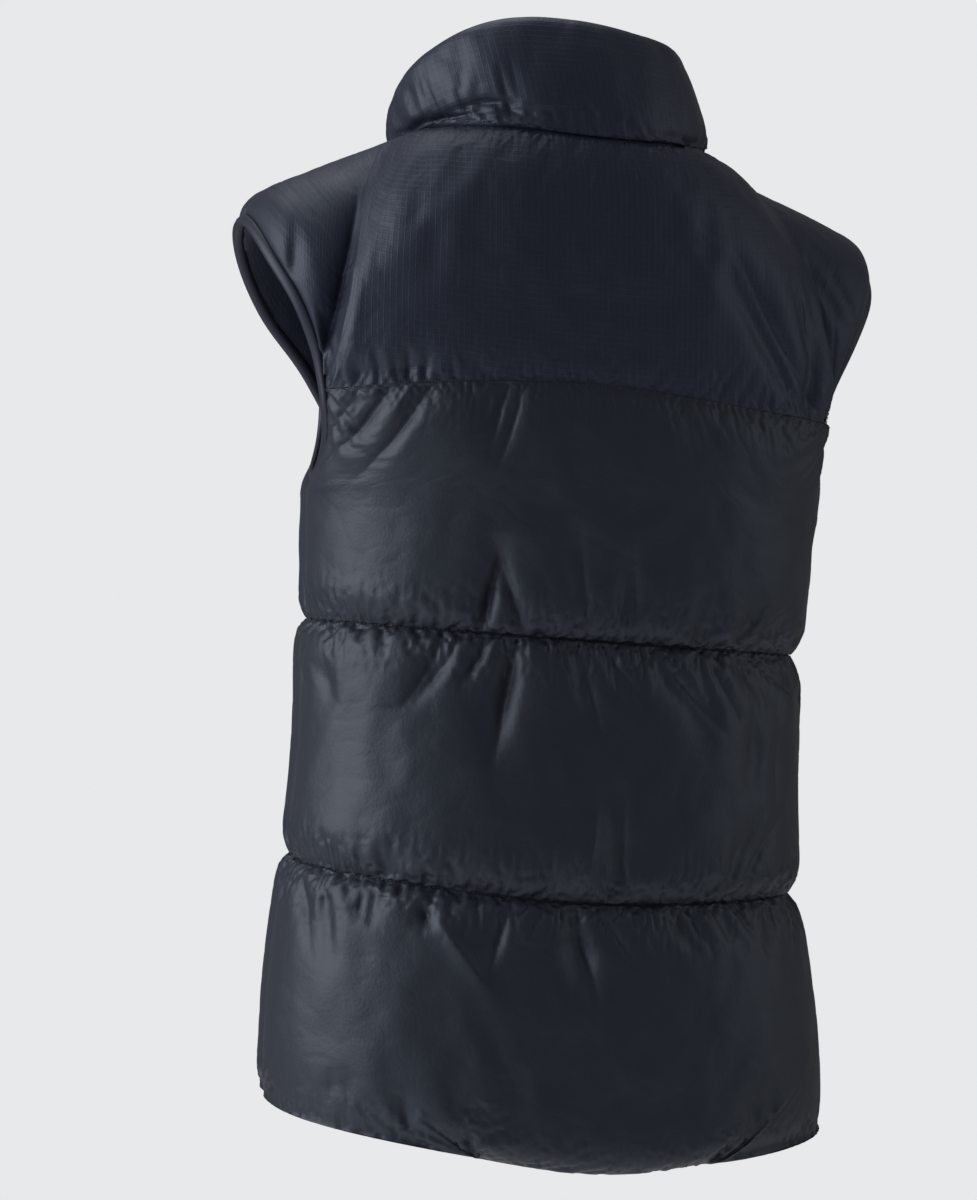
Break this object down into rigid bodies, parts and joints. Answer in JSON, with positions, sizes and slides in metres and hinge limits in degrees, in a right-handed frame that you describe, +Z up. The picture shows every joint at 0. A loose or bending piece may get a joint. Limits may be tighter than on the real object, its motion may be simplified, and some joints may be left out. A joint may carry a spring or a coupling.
{
  "type": "puffer vest",
  "caption": "Padded sleeveless vest in its worn shape: stand collar, smooth yokes, wide quilted panels, dropped back hem and front zip.",
  "frame": {"origin": "the nape: on the inner wall at the centre back of the collar seam, where the wearer's neck and shoulders hold the vest", "axes": "+Z up, the wearer faces -Y, the wearer's left is +X"},
  "size_m": [0.4921, 0.2949, 0.834],
  "materials": {
    "ripstop": "dark navy ripstop nylon, low sheen, fine woven grid",
    "taffeta": "dark charcoal navy plain taffeta, satin",
    "binding": "narrow folded nylon strip, matt",
    "zip_tape": "woven polyester tape, matt",
    "zip_metal": "black lacquer, satin"
  },
  "bodies": {
    "vest": {"collar": "ripstop", "back_yoke": "ripstop", "front_yoke_left": "ripstop", "front_yoke_right": "ripstop", "back_panel_upper": "taffeta", "back_panel_middle": "taffeta", "back_panel_lower": "taffeta", "front_panel_left_upper": "taffeta", "front_panel_left_middle": "taffeta", "front_panel_left_lower": "taffeta", "front_panel_right_upper": "taffeta", "front_panel_right_middle": "taffeta", "front_panel_right_lower": "taffeta", "armhole_binding_left": "binding", "armhole_binding_right": "binding", "zip_tape_left": "zip_tape", "zip_tape_right": "zip_tape", "zip_slider": "zip_metal", "zip_box": "zip_metal"},
    "pull": {"zip_pull": "zip_metal"}
  },
  "joints": [
    {"name": "pull_hinge", "type": "hinge", "parent": "vest", "child": "pull", "pos_m": [0, -0.173, -0.0415], "axis": [-1, 0, 0], "range_deg": [0, 150]}
  ]
}
